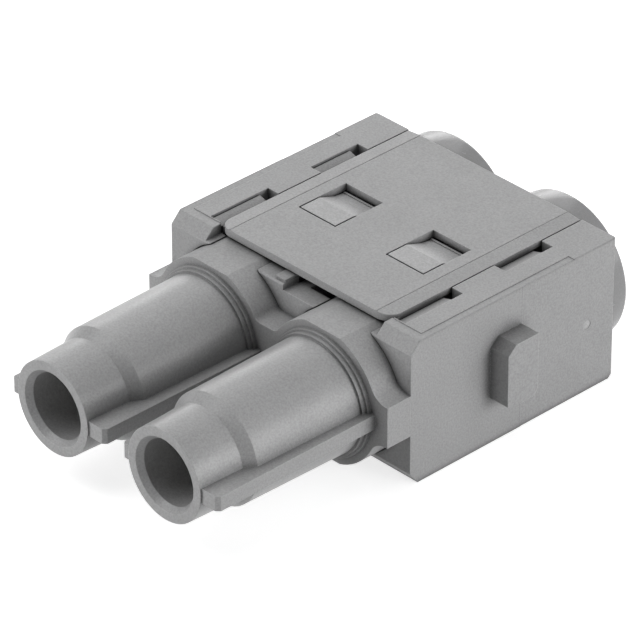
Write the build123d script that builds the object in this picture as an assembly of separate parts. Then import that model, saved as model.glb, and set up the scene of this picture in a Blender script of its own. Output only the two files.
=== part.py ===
from build123d import *
import math
import os

# Two-pole high-current connector module, socket side, lying on its large face.
# Millimetres. X is the width, Y the plug axis (the tubes point to -Y), Z is up.
# Lengths along Y are measured from the front wall of the shell and shifted at the end.

# Clearances
FIT = 0.1
SEAM = 0.15
OVER = 1.0
SIDES = (-1, 1)

# Walls and steps of one pole, from the contact pin outward
PIN_R = 3.0
MOUTH_STEP = 0.45
RING_WALL = 0.65
SOCKET_WALL = 0.65
COLLAR_STEP = 0.75
CARRIER_WALL = 1.0
SLEEVE_STEP = 0.95
SLEEVE_FLAT = 0.15

# Radii of one pole
ENTRY_R = PIN_R + 2 * FIT
MOUTH_R = ENTRY_R + MOUTH_STEP
RING_R = PIN_R + FIT + RING_WALL
SOCKET_R = RING_R + SOCKET_WALL
COLLAR_R = SOCKET_R + COLLAR_STEP
REAR_R = COLLAR_R + SEAM
INNER_R = REAR_R + CARRIER_WALL
SLEEVE_R = INNER_R + SLEEVE_STEP

# Body of the module: the pitch leaves the flats of the two rear sleeves just clear of each other
POLE_PITCH = 2 * (SLEEVE_R - SLEEVE_FLAT) + FIT
POLE_X = POLE_PITCH / 2
BODY_L = 25.5
BODY_H = 2 * SLEEVE_R + FIT
AXIS_Z = BODY_H / 2

# Block of the carrier, with its two bosses and its side flanges
FACE_OUT = 2.8
FACE_Y = -FACE_OUT
BOSS_GAP = 0.6
BOSS_R = (POLE_PITCH - BOSS_GAP) / 2
BOSS_SKIN = 0.8
BOSS_FLAT = AXIS_Z - BOSS_SKIN
WEB_HALF_H = 3.48
WEB_ROUND = 0.8
FLANGE_OUT = 1.2
FLANGE_HALF_H = 2.07
FLANGE_ROUND = 2.0
ROUND_LIMIT = 1.35
HALF_W = POLE_X + BOSS_R + FLANGE_OUT
BODY_W = 2 * HALF_W

# Front edges and rear corners of the shell
TOP_CUT = (1.12, 1.15)
LOW_CUT = (0.95, 1.24)
HEEL_CUT = 0.5
REAR_ROUND = 0.3

# Walls of the shell
FRONT_WALL = 2.0
REAR_WALL = 1.5
SIDE_WALL = 1.2
FLOOR = 0.75
STRIP_T = 1.35
REAR_IN = BODY_L - REAR_WALL
INNER_GAP = 0.25
MIDDLE_WALL = POLE_PITCH - 2 * (INNER_R + INNER_GAP)

# Side strips with their posts and the lowered rim
STRIP_W = 4.35
POST_X = HALF_W - STRIP_W
RIM_W = 0.8
RIM_DROP = 0.06

# Bridge between the bosses, with its recess and its tab
BRIDGE_DROP = 1.03
BRIDGE_TOP = BODY_H - BRIDGE_DROP
DIP_X = (-0.8, 4.3)
DIP_D = 0.59
DIP_Z = BRIDGE_TOP - DIP_D
TAB_X = (-2.05, -0.85)
TAB_Y = 0.35
TAB_H = 0.28
TAB_Z = BRIDGE_TOP + TAB_H
TAB_ROOT = 0.5

# Slots in the strips
SLOT_W = 1.5
SLOT_X = POST_X + SLOT_W
SLOT_LAP = 0.5
FRONT_SLOT = (FRONT_WALL + FIT, 9.15)
REAR_SLOT = (14.4, 20.35)
RIM_END = REAR_SLOT[1] - SEAM

# Guide peg
PEG_OUT = 2.2
PEG_Y = (9.8, 13.55)
PEG_BELOW = 2.75
PEG_ABOVE = 3.6
PEG_Z = (AXIS_Z - PEG_BELOW, AXIS_Z + PEG_ABOVE)
PEG_CUT = (0.95, 0.86)
PEG_HEEL = (0.4, 0.7)
PEG_TOE = (1.2, 0.25)

# Witness step and ejector mark of the side walls
STEP_GAP = 0.18
STEP_Y = PEG_Y[1] + STEP_GAP
STEP_D = 0.04
MARK_BACK = 3.5
MARK_Y = BODY_L - MARK_BACK
MARK_DROP = 0.3
MARK_R = 0.46
MARK_D = 0.03

# Cover plate
PLATE_T = 0.75
PLATE_PROUD = 0.15
PLATE_TOP = BODY_H + PLATE_PROUD
PLATE_LOW = PLATE_TOP - PLATE_T
PLATE_START = 1.56
PLATE_Y = (PLATE_START, BODY_L - SEAM)
PLATE_ROUND = 1.6
BEVEL_W = 1.5
WITNESS_W = 0.1
WITNESS_D = 0.06
WINDOW_IN = 1.6
WINDOW_X = POLE_X - WINDOW_IN
WINDOW_W = 4.75
WINDOW_Y = (8.65, 14.6)

# Feet of the cover plate
FOOT_W = 2.33
FOOT_LEAN = 1.15
FOOT_ROOT = 0.6
FOOT_GAP = 1.15
FOOT_DEPTH = 2.0
FOOT_Z = BODY_H - FOOT_DEPTH
FOOT_DROP = (0.54, 0.22)
FOOT_EDGE = (BODY_H - FOOT_DROP[0], BODY_H - FOOT_DROP[1])
HOOK_L = 0.9
HOOK_H = 0.55
NOTCH_W = 0.2
NOTCH_D = 1.3
NOTCH_Z = BODY_H - NOTCH_D

# Tubes
TUBE_L = 18.7
TIP_Y = FACE_Y - TUBE_L
TIP_RIM = 0.9
TIP_R = MOUTH_R + TIP_RIM
NOSE_TAPER = 0.15
NOSE_R = TIP_R + NOSE_TAPER
NOSE_L = 4.8
CONE_L = 1.1
TUBE_WALL = (0.9, 1.1)
CHAMBER_R = SOCKET_R + FIT
TUBE_R = (CHAMBER_R + TUBE_WALL[0], CHAMBER_R + TUBE_WALL[1])
BEAD_H = 0.25
BEAD_R = (TUBE_R[1] + BEAD_H, TUBE_R[1] + 2 * BEAD_H)
BEAD_L = 0.4
MOUTH_L = 0.6
CONE_Y = (TIP_Y + NOSE_L, TIP_Y + NOSE_L + CONE_L)
ROOT_Y = FACE_Y + TAB_ROOT

# Ribs of the tubes
RIB_T = 1.5
RIB_H = 0.95
RIB_REACH = TUBE_R[1] + RIB_H
RIB_BACK = 0.15
RIB_Y = TIP_Y + RIB_BACK
RIB_CUT = 0.35
RIB_SINK = 1.0
KEY_REACH = TUBE_R[0]
KEY_CUT = 0.18

# Contact chamber inside each pole
STEP_L = 6.2
CHAMBER_Y = TIP_Y + STEP_L
SEAT_Y = 3.0

# Spring tongue with its latch nose
NOSE_GAP = 0.17
NOSE_FLAT_L = 2.3
RAMP_BACK = 1.6
RAMP_DROP = 0.48
END_BACK = 0.3
END_DROP = 0.62
NOSE_RAMP = (WINDOW_Y[1] - RAMP_BACK, BODY_H - RAMP_DROP)
NOSE_END = (WINDOW_Y[1] - END_BACK, BODY_H - END_DROP)
NOSE_LIP = 0.2
NOSE_SINK = 0.08
NOSE_LOW = AXIS_Z + BOSS_FLAT - NOSE_SINK
PAD_SIDE = 1.4
SLIT_D = 4.5
SLIT_LOW = BODY_H - SLIT_D
TONGUE_ROOT = 4.15
SLIT_START = WINDOW_Y[0] - TONGUE_ROOT
SLIT_W = 0.5

# Contacts
SOCKET_Y = CHAMBER_Y + 2 * FIT
COLLAR_L = 1.6
COLLAR_END = SEAT_Y + COLLAR_L
BARREL_BORE = 3.4
BARREL_WALL = 0.8
BARREL_R = BARREL_BORE + BARREL_WALL
BARREL_WEB = 2.8
BARREL_BACK = 4.1
BARREL_Y = (COLLAR_END + BARREL_WEB, BODY_L - BARREL_BACK)
BARREL_LEAD = (0.4, 0.6)
PEEP_R = 0.8
PEEP_BACK = 1.2
PEEP_Y = BARREL_Y[0] + PEEP_BACK
VENT_R = 0.6

# Mouth ring and contact band, a strip of flat leaves rolled into a ring
RING_L = 1.3
RING_LEAD = 0.5
BAND_T = 0.25
BAND_L = 10.4
BAND_END = 0.8
BAND_LEAVES = 12
LEAF_W = 1.4
LEAF_WAIST_L = 2.4
LEAF_PLAY = 0.02
BAND_SPLIT = 0.4
BAND_R = PIN_R + FIT + 2 * BAND_T
BAND_FLAT = BAND_R * math.cos(math.pi / BAND_LEAVES)
BAND_Y = (SOCKET_Y + RING_L, SOCKET_Y + RING_L + BAND_L)
BORE_REST = 4.0
BORE_END = BAND_Y[1] + BORE_REST

# Retaining clip
CLIP_L = 4.2
CLIP_T = 0.3
CLIP_SPLIT = 2.4
CLIP_LANCES = 3
LANCE_Y = 0.9
LANCE_W = 2.0
LANCE_L = 2.4
LANCE_GAP = 0.2

# Rear sleeves
SLEEVE_OUT = 2.55
SLEEVE_END = BODY_L + SLEEVE_OUT
SLEEVE_ROUND = 0.35
SLEEVE_BORE = BARREL_R + 4 * FIT
CLIP_ROOM = 1.0
SLEEVE_FRONT = COLLAR_END + CLIP_L + CLIP_ROOM
SLEEVE_LEAD = 0.8
WIRE_R = 4.4
WIRE_Y = BARREL_Y[1] + 2 * FIT

# The whole part is centred on its box along Y
SHIFT_Y = -(TIP_Y + SLEEVE_END) / 2


def span(x0, x1, y0, y1, z0, z1):
    """A block between two values on each axis."""
    middle = Pos((x0 + x1) / 2, (y0 + y1) / 2, (z0 + z1) / 2)
    return middle * Box(x1 - x0, y1 - y0, z1 - z0)


def pole(shape, x):
    """A shape drawn around the Y axis, moved to the axis of a pole."""
    return Pos(x, 0, AXIS_Z) * shape


def turned(points):
    """A solid of revolution around Y from radius and Y pairs."""
    outline = make_face(Polyline(*points, close=True))
    return revolve(outline, Axis.Y, 360)


def rod(radius, y0, y1):
    """A round bar along Y, centred on the axis."""
    return turned([(0, y0), (radius, y0), (radius, y1), (0, y1)])


def along_y(sketch, y0, y1, z=AXIS_Z):
    """A sketch in X and Z, centred on a height, drawn from y1 forward to y0."""
    plane = Plane(origin=(0, y1, z), x_dir=(1, 0, 0), z_dir=(0, -1, 0))
    return extrude(plane * sketch, y1 - y0)


def along_x(points, x0, x1):
    """A side outline of Y and Z pairs, drawn from x0 to x1."""
    plane = Plane(origin=(x0, 0, 0), x_dir=(0, 1, 0), z_dir=(1, 0, 0))
    outline = make_face(Polyline(*points, close=True))
    return extrude(plane * outline, x1 - x0)


def mirrored(shape):
    """The shape and its mirror image across the middle of the module."""
    return shape + mirror(shape, Plane.YZ)


def boss_outline(grow=0.0):
    """Front outline of the two flattened bosses of the carrier."""
    radius = BOSS_R + grow
    bosses = Sketch() + [Pos(side * POLE_X, 0) * Circle(radius) for side in SIDES]
    return bosses & Rectangle(2 * BODY_W, 2 * (BOSS_FLAT + grow))


def boss_reach(height):
    """How far a boss reaches sideways from the axis of its pole at a height above it."""
    return (BOSS_R**2 - height**2) ** 0.5


def flange_outline():
    """Front outline of the block: the bosses joined by a web, with side flanges."""
    outline = boss_outline() + Rectangle(POLE_PITCH, 2 * WEB_HALF_H)
    web_x = POLE_X - boss_reach(WEB_HALF_H)
    inner = [v for v in outline.vertices() if abs(abs(v.X) - web_x) < FIT]
    outline = fillet(inner, WEB_ROUND)
    outline = outline + Rectangle(BODY_W, 2 * FLANGE_HALF_H)
    flange_x = POLE_X + boss_reach(FLANGE_HALF_H)
    outer = [v for v in outline.vertices() if abs(abs(v.X) - flange_x) < FIT]
    return fillet(outer, min(FLANGE_ROUND, ROUND_LIMIT * (HALF_W - flange_x)))


def shell_solid():
    """The outer block with its chamfered front and rounded rear corners."""
    side = [
        (LOW_CUT[0], 0),
        (BODY_L - HEEL_CUT, 0),
        (BODY_L, HEEL_CUT),
        (BODY_L, BODY_H),
        (TOP_CUT[0], BODY_H),
        (0, BODY_H - TOP_CUT[1]),
        (0, LOW_CUT[1]),
    ]
    block = along_x(side, -HALF_W, HALF_W)
    corners = block.edges().filter_by(Axis.Z).group_by(Axis.Y)[-1]
    return fillet(corners, REAR_ROUND)


def shell_inside():
    """What is taken out of the shell: chamber, front mouth, lid bed and rear bores."""
    half = HALF_W - SIDE_WALL
    bed = POST_X + SEAM
    high = BODY_H + OVER
    back = BODY_L + OVER
    chamber = span(-half, half, FRONT_WALL, REAR_IN, FLOOR, BODY_H - STRIP_T)
    mouth = along_y(boss_outline(FIT), -OVER, FRONT_WALL)
    above = span(-POST_X, POST_X, -OVER, FRONT_WALL, BRIDGE_TOP, high)
    lid_bed = span(-bed, bed, FRONT_WALL, back, PLATE_LOW, high)
    opening = span(-bed, bed, FRONT_WALL, REAR_IN, BODY_H - 2 * STRIP_T, high)
    dip = span(*DIP_X, -OVER, FRONT_WALL, DIP_Z, high)
    bore = rod(REAR_R + FIT / 2, REAR_IN - OVER, back)
    return [chamber, mouth, above, lid_bed, opening, dip] + [pole(bore, side * POLE_X) for side in SIDES]


def middle_wall():
    """Wall between the two poles, from the floor up to the bridge."""
    half = MIDDLE_WALL / 2
    wall = span(-half, half, FRONT_WALL - TAB_ROOT, REAR_IN + TAB_ROOT, FLOOR / 2, DIP_Z)
    return wall - along_y(boss_outline(FIT), -OVER, FRONT_WALL + 2 * FIT)


def hook_x():
    """Where the hooks of the cover plate start, beside the boss."""
    return POLE_X + boss_reach(FOOT_Z - AXIS_Z) + SEAM


def strip_cuts():
    """Slots of one strip, the catch for the front hook and the lowered rim."""
    low = FOOT_Z - FIT
    high = BODY_H + OVER
    cuts = []
    for slot in (FRONT_SLOT, REAR_SLOT):
        cuts.append(span(POST_X - SLOT_LAP, SLOT_X, *slot, low, high))
    start = FRONT_SLOT[0] - HOOK_L
    cuts.append(span(hook_x() - FIT, SLOT_X, start, FRONT_SLOT[1], low, FOOT_Z + HOOK_H + FIT))
    rim = BODY_H - RIM_DROP
    cuts.append(span(HALF_W - RIM_W, HALF_W + OVER, 0, RIM_END, rim, high))
    cuts.append(span(POST_X - FIT, HALF_W, 0, FRONT_WALL, rim, high))
    return cuts


def side_marks():
    """Witness step and round ejector mark of the side wall."""
    face = HALF_W - STEP_D
    step = span(face, HALF_W + OVER, STEP_Y, BODY_L + OVER, -OVER, BODY_H + OVER)
    spot = Rot(0, 90, 0) * Cylinder(MARK_R, 2 * MARK_D)
    return [step, Pos(face, MARK_Y, AXIS_Z - MARK_DROP) * spot]


def guide_peg():
    """Guide peg of one side wall, with its front bevel."""
    y0, y1 = PEG_Y
    z0, z1 = PEG_Z
    side = [
        (y0, z0 + PEG_TOE[1]),
        (y0, z1 - PEG_CUT[1]),
        (y0 + PEG_CUT[0], z1),
        (y1, z1),
        (y1, z0 + PEG_HEEL[1]),
        (y1 - PEG_HEEL[0], z0),
        (y0 + PEG_TOE[0], z0),
    ]
    return along_x(side, HALF_W - SIDE_WALL / 2, HALF_W + PEG_OUT)


def build_shell():
    """Outer shell of the module."""
    shell = shell_solid()
    for cut in shell_inside():
        shell = shell - cut
    for cut in strip_cuts() + side_marks():
        shell = shell - cut - mirror(cut, Plane.YZ)
    shell = shell + middle_wall()
    shell = shell + span(*TAB_X, TAB_Y, FRONT_WALL, BRIDGE_TOP - TAB_ROOT, TAB_Z)
    return shell + mirrored(guide_peg())


def plate_foot(slot):
    """One foot of the cover plate, on the right, with its forward hook."""
    x1 = SLOT_X - SEAM
    x0 = x1 - FOOT_W
    notch = POST_X + NOTCH_W
    front = slot[0] + FIT
    back = slot[1] - FOOT_GAP
    plane = Plane(origin=(0, back, 0), x_dir=(1, 0, 0), z_dir=(0, -1, 0))
    outline = Polyline(
        (x0, FOOT_Z + FOOT_ROOT),
        (x0, PLATE_LOW + PLATE_T / 4),
        (POST_X, PLATE_LOW + PLATE_T / 4),
        (POST_X, NOTCH_Z),
        (notch, NOTCH_Z),
        (notch, FOOT_EDGE[0]),
        (x1, FOOT_EDGE[1]),
        (x1, FOOT_Z),
        (x0 + FOOT_LEAN, FOOT_Z),
        close=True,
    )
    foot = extrude(plane * make_face(outline), back - front)
    hook = span(hook_x(), x1, front - HOOK_L, front, FOOT_Z, FOOT_Z + HOOK_H)
    return foot + hook


def build_plate():
    """Cover plate: bevelled panel with two windows and four feet."""
    y0, y1 = PLATE_Y
    plane = Plane(origin=(0, y1, 0), x_dir=(1, 0, 0), z_dir=(0, -1, 0))
    bevel_x = POST_X - BEVEL_W
    right = [
        (bevel_x - WITNESS_W, PLATE_TOP),
        (bevel_x - WITNESS_W / 2, PLATE_TOP - WITNESS_D),
        (bevel_x, PLATE_TOP),
        (POST_X, BODY_H),
        (POST_X, PLATE_LOW),
    ]
    left = [(-x, z) for x, z in reversed(right)]
    panel = extrude(plane * make_face(Polyline(*left, *right, close=True)), y1 - y0)
    corners = panel.edges().filter_by(Axis.Z).group_by(Axis.Y)[0]
    panel = fillet(corners, PLATE_ROUND)
    for side in SIDES:
        x0 = side * WINDOW_X - WINDOW_W / 2
        panel = panel - span(x0, x0 + WINDOW_W, *WINDOW_Y, PLATE_LOW - OVER, PLATE_TOP + OVER)
    for slot in (FRONT_SLOT, REAR_SLOT):
        panel = panel + mirrored(plate_foot(slot))
    return panel


def tube_shape():
    """Stepped tube with its root beads, the contact chamber not yet taken out."""
    y = TIP_Y
    bead = FACE_Y - 2 * BEAD_L
    outline = [
        (0, y),
        (TIP_R, y),
        (NOSE_R, CONE_Y[0]),
        (TUBE_R[0], CONE_Y[1]),
        (TUBE_R[1], bead),
        (BEAD_R[0], bead),
        (BEAD_R[0], bead + BEAD_L),
        (BEAD_R[1], bead + BEAD_L),
        (BEAD_R[1], ROOT_Y),
        (0, ROOT_Y),
    ]
    return turned(outline)


def tube_ribs():
    """Long rib on the right of a tube and the short key on its left."""
    low, top = -RIB_T / 2, RIB_T / 2
    rib = span(NOSE_R - RIB_SINK, RIB_REACH, RIB_Y, ROOT_Y, low, top)
    front = rib.edges().filter_by(Axis.Z).group_by(Axis.Y)[0].sort_by(Axis.X)[-1]
    rib = chamfer(front, RIB_CUT)
    key = span(-KEY_REACH, RIB_SINK - NOSE_R, RIB_Y, CONE_Y[1] + TAB_ROOT, low, top)
    edge = key.edges().filter_by(Axis.Z).group_by(Axis.Y)[0].sort_by(Axis.X)[0]
    key = chamfer(edge, KEY_CUT)
    return rib + key


def chamber_shape():
    """Everything that is bored out of one pole of the carrier."""
    outline = [
        (0, TIP_Y - OVER),
        (MOUTH_R, TIP_Y - OVER),
        (MOUTH_R, TIP_Y),
        (ENTRY_R, TIP_Y + MOUTH_L),
        (ENTRY_R, CHAMBER_Y),
        (CHAMBER_R, CHAMBER_Y),
        (CHAMBER_R, SEAT_Y),
        (REAR_R, SEAT_Y),
        (REAR_R, BODY_L),
        (0, BODY_L),
    ]
    return turned(outline)


def latch_nose(side):
    """Latch nose of one tongue: flat in front, sloping down to the rear."""
    half = WINDOW_W / 2 - NOSE_GAP
    y0 = WINDOW_Y[0] + NOSE_GAP
    ramp_y, ramp_z = NOSE_RAMP
    end_y, end_z = NOSE_END
    profile = [
        (y0, NOSE_LOW),
        (y0, PLATE_TOP),
        (y0 + NOSE_FLAT_L, PLATE_TOP),
        (ramp_y, ramp_z),
        (end_y - NOSE_LIP, end_z),
        (end_y - NOSE_LIP, end_z + NOSE_LIP / 2),
        (end_y, end_z + NOSE_LIP / 2),
        (end_y, NOSE_LOW),
    ]
    middle = side * WINDOW_X
    return along_x(profile, middle - half, middle + half)


def tongue_pad(side):
    """Raised pad that carries the tongue of one side, kept within the boss outline."""
    half = WINDOW_W / 2 - NOSE_GAP + PAD_SIDE
    middle = side * WINDOW_X
    end = NOSE_END[0] + PAD_SIDE
    pad = span(middle - half, middle + half, FRONT_WALL, end, AXIS_Z + SOCKET_R, BODY_H)
    return pad & along_y(boss_outline(), FRONT_WALL, end)


def tongue_slits(side):
    """U-shaped slit that frees the tongue of one side."""
    middle = side * WINDOW_X
    inner = WINDOW_W / 2 - NOSE_GAP
    outer = inner + SLIT_W
    end = NOSE_END[0]
    room = span(middle - outer, middle + outer, SLIT_START, end + SLIT_W, SLIT_LOW, BODY_H + OVER)
    return room - span(middle - inner, middle + inner, 0, end, 0, BODY_H + 2 * OVER)


def build_carrier():
    """Contact carrier: block, tubes, ribs, chambers and spring tongues."""
    carrier = along_y(flange_outline(), FACE_Y, 0)
    carrier = carrier + along_y(boss_outline(), 0, FRONT_WALL + FIT)
    inner = Sketch() + [Pos(side * POLE_X, 0) * Circle(INNER_R) for side in SIDES]
    carrier = carrier + along_y(inner, FRONT_WALL, REAR_IN - 2 * FIT)
    for side in SIDES:
        carrier = carrier + tongue_pad(side) + latch_nose(side)
        carrier = carrier + pole(tube_shape() + tube_ribs(), side * POLE_X)
    for side in SIDES:
        carrier = carrier - pole(chamber_shape(), side * POLE_X)
        carrier = carrier - tongue_slits(side)
    return carrier


def build_sleeve(side):
    """Rear sleeve: collar outside the shell with a flat toward the other, spigot in the carrier."""
    spigot = REAR_R - FIT / 2
    outline = [
        (SLEEVE_BORE, SLEEVE_FRONT),
        (spigot, SLEEVE_FRONT),
        (spigot, BODY_L),
        (SLEEVE_R, BODY_L),
        (SLEEVE_R, SLEEVE_END - SLEEVE_ROUND),
        (SLEEVE_R - SLEEVE_ROUND, SLEEVE_END),
        (WIRE_R + SLEEVE_LEAD, SLEEVE_END),
        (WIRE_R, SLEEVE_END - SLEEVE_LEAD),
        (WIRE_R, WIRE_Y),
        (SLEEVE_BORE, WIRE_Y),
    ]
    sleeve = pole(turned(outline), POLE_X)
    sleeve = sleeve - span(-POLE_X, FIT / 2, BODY_L, SLEEVE_END + OVER, 0, BODY_H)
    return sleeve if side > 0 else mirror(sleeve, Plane.YZ)


def build_socket(x):
    """Turned contact: socket in front, collar, crimp barrel behind."""
    y = SOCKET_Y
    outline = [
        (RING_R, y),
        (SOCKET_R, y),
        (SOCKET_R, SEAT_Y),
        (COLLAR_R, SEAT_Y),
        (COLLAR_R, COLLAR_END),
        (BARREL_R, COLLAR_END),
        (BARREL_R, BARREL_Y[1]),
        (BARREL_BORE + BARREL_LEAD[0], BARREL_Y[1]),
        (BARREL_BORE, BARREL_Y[1] - BARREL_LEAD[1]),
        (BARREL_BORE, BARREL_Y[0]),
        (0, BARREL_Y[0]),
        (0, BORE_END),
        (ENTRY_R, BORE_END),
        (ENTRY_R, BAND_Y[1]),
        (BAND_R, BAND_Y[1]),
        (BAND_R, BAND_Y[0]),
        (RING_R, BAND_Y[0]),
    ]
    body = turned(outline)
    peep = Pos(0, PEEP_Y, BARREL_R) * Cylinder(PEEP_R, 2 * BARREL_BORE)
    vent = Pos(0, BORE_END - VENT_R, -SOCKET_R) * Cylinder(VENT_R, 2 * ENTRY_R)
    return pole(body - peep - vent, x)


def band_leaf(y0, y1):
    """One flat spring leaf of the contact band, bowed toward the pin."""
    middle = (y0 + y1) / 2
    waist = PIN_R + LEAF_PLAY + BAND_T
    skin = [
        (BAND_FLAT, y0),
        (BAND_FLAT, y0 + BAND_END),
        (waist, middle - LEAF_WAIST_L / 2),
        (waist, middle + LEAF_WAIST_L / 2),
        (BAND_FLAT, y1 - BAND_END),
        (BAND_FLAT, y1),
    ]
    inside = [(radius - BAND_T, y) for radius, y in reversed(skin)]
    return extrude(make_face(Polyline(*skin, *inside, close=True)), LEAF_W / 2, both=True)


def build_band(x):
    """Contact band: a split ring at each end, joined by the leaves."""
    y0 = BAND_Y[0] + FIT / 2
    y1 = BAND_Y[1] - FIT / 2
    outer = RegularPolygon(BAND_R, BAND_LEAVES)
    inner = RegularPolygon(BAND_FLAT - BAND_T, BAND_LEAVES, major_radius=False)
    ring = outer - inner
    band = along_y(ring, y0, y0 + BAND_END, 0) + along_y(ring, y1 - BAND_END, y1, 0)
    step = 360 / BAND_LEAVES
    for index in range(BAND_LEAVES):
        band = band + Rot(0, step * (index + 0.5), 0) * band_leaf(y0, y1)
    split = Pos(BAND_R, (y0 + y1) / 2, 0) * Box(BAND_R / 2, BAND_L, BAND_SPLIT)
    return pole(band - split, x)


def build_mouth_ring(x):
    """Pressed ring with a lead-in that closes the mouth of the socket."""
    bore = PIN_R + FIT
    outline = [
        (bore + RING_LEAD, SOCKET_Y),
        (RING_R, SOCKET_Y),
        (RING_R, SOCKET_Y + RING_L),
        (bore, SOCKET_Y + RING_L),
        (bore, SOCKET_Y + RING_LEAD),
    ]
    return pole(turned(outline), x)


def build_clip(x):
    """Split spring ring with lances, behind the collar of the contact."""
    y0 = COLLAR_END + FIT / 2
    y1 = y0 + CLIP_L
    outer = REAR_R - FIT / 2
    inner = outer - CLIP_T
    high = REAR_R + OVER
    ring = turned([(inner, y0), (outer, y0), (outer, y1), (inner, y1)])
    ring = ring - span(-CLIP_SPLIT / 2, CLIP_SPLIT / 2, y0 - OVER, y1 + OVER, 0, high)
    start = y0 + LANCE_Y
    root = start + LANCE_L
    half = LANCE_W / 2
    window = span(-half - LANCE_GAP, half + LANCE_GAP, start - LANCE_GAP, root, 0, high)
    reach = BARREL_R + FIT / 2
    end = root + CLIP_T
    tip = [(start, reach), (start, reach + CLIP_T), (end, outer - CLIP_T / 2), (end, inner)]
    lance = along_x(tip, -half, half)
    for index in range(CLIP_LANCES):
        turn = Rot(0, 360 / (CLIP_LANCES + 1) * (index + 1), 0)
        ring = ring - turn * window
        ring = ring + turn * lance
    return pole(ring, x)


def build_all():
    """Every node of the module by name."""
    nodes = {
        "outer_shell": build_shell(),
        "cover_plate": build_plate(),
        "contact_carrier": build_carrier(),
    }
    for name, side in (("left", -1), ("right", 1)):
        x = side * POLE_X
        nodes["rear_sleeve_" + name] = build_sleeve(side)
        nodes["socket_" + name] = build_socket(x)
        nodes["contact_band_" + name] = build_band(x)
        nodes["mouth_ring_" + name] = build_mouth_ring(x)
        nodes["retaining_clip_" + name] = build_clip(x)
    return nodes


os.makedirs("parts", exist_ok=True)
for node, shape in build_all().items():
    placed = Pos(0, SHIFT_Y, 0) * shape
    placed.label = node
    export_step(placed, "parts/" + node + ".step")
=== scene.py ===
"""Looks of a two-pole high-current connector module, socket side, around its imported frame.

Metres, +Z up, the tubes point to -Y. The shell, the lid and the contact carrier are the frame's
own solids in a grained grey plastic, and so are the contacts, rings and clips in metal. The rear
sleeves and the contact bands follow a rule, a turned profile and a ring of bowed leaves, and are
made by Geometry Nodes in place of their solids.
"""

import logging
import math
from dataclasses import dataclass, field
from enum import Enum

import bmesh
import bpy
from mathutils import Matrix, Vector


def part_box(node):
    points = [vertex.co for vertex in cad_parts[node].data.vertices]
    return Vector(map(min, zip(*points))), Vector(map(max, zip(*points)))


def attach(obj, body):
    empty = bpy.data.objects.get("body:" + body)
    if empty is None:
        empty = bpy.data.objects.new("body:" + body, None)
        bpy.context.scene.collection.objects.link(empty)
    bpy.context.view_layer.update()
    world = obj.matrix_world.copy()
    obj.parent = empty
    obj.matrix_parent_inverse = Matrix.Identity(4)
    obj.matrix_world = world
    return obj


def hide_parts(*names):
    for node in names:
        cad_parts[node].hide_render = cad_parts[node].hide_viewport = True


Socket = bpy.types.NodeSocket
Colour = tuple[float, float, float]

LOG = logging.getLogger("module")
MM = 0.001
ROOT = "root"

SMOOTH_ANGLE = math.radians(35.0)
MERGE_WITHIN = 0.001 * MM
CORNER_STEPS = 4
SHADE_SAMPLES = 6

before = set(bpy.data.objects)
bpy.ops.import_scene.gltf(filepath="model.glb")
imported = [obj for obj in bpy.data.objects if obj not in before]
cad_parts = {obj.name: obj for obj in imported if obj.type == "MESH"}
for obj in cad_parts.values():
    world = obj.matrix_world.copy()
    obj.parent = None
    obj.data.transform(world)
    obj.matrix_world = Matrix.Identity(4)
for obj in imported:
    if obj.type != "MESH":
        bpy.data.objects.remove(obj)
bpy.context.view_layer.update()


class Side(Enum):
    """The two poles, by the sign of their place along X."""

    LEFT = -1
    RIGHT = 1

    def node(self, stem: str) -> str:
        """Name of this side's node of a kind."""
        return stem + "_" + self.name.lower()


@dataclass(frozen=True)
class Texture:
    """Relief and roughness that a mould leaves.

    Args:
        size: size of its grains, in metres.
        depth: depth of its relief, in metres.
        roughness: roughness of the surface.
    """

    size: float
    depth: float
    roughness: float


class Grain(Enum):
    """The textures on the module: spark-eroded, drawn along the tubes, and satin."""

    SPARK = Texture(0.19 * MM, 0.014 * MM, 0.52)
    DRAWN = Texture(0.15 * MM, 0.009 * MM, 0.36)
    SATIN = Texture(0.13 * MM, 0.004 * MM, 0.24)


@dataclass(frozen=True)
class Shades:
    """Colour of a finish: its middle tone, how much it varies, and the painted highlight and painted
    shade laid on it.

    Args:
        base: linear colour of the surface.
        speckle: share by which the fine grain lightens and darkens it.
        cloud: share by which broad patches do.
        edge: share by which a painted highlight makes edges lighter.
        recess: share by which painted shade makes joints, slots and inner corners darker.
    """

    base: Colour
    speckle: float = 0.0
    cloud: float = 0.0
    edge: float = 0.0
    recess: float = 0.0


@dataclass(frozen=True)
class Mark:
    """Round mark that an ejector pin leaves on a side wall.

    Args:
        y: its centre along Y, in metres.
        z: its height, in metres.
        radius: its radius, in metres.
        lift: share by which it is lighter than the wall.
        sharp: share of its radius up to which it is fully lighter.
    """

    y: float
    z: float
    radius: float
    lift: float
    sharp: float = 0.85


@dataclass(frozen=True)
class Patch:
    """Box-shaped area on both sides of the middle plane, lighter or darker than the rest.

    Args:
        centre: middle of the box on the right side, in metres.
        half: half of its sizes.
        border: width of its soft border, inside the box.
        lift: share by which it is lighter; it is negative for a darker one.
    """

    centre: tuple[float, float, float]
    half: tuple[float, float, float]
    border: float
    lift: float


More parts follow.
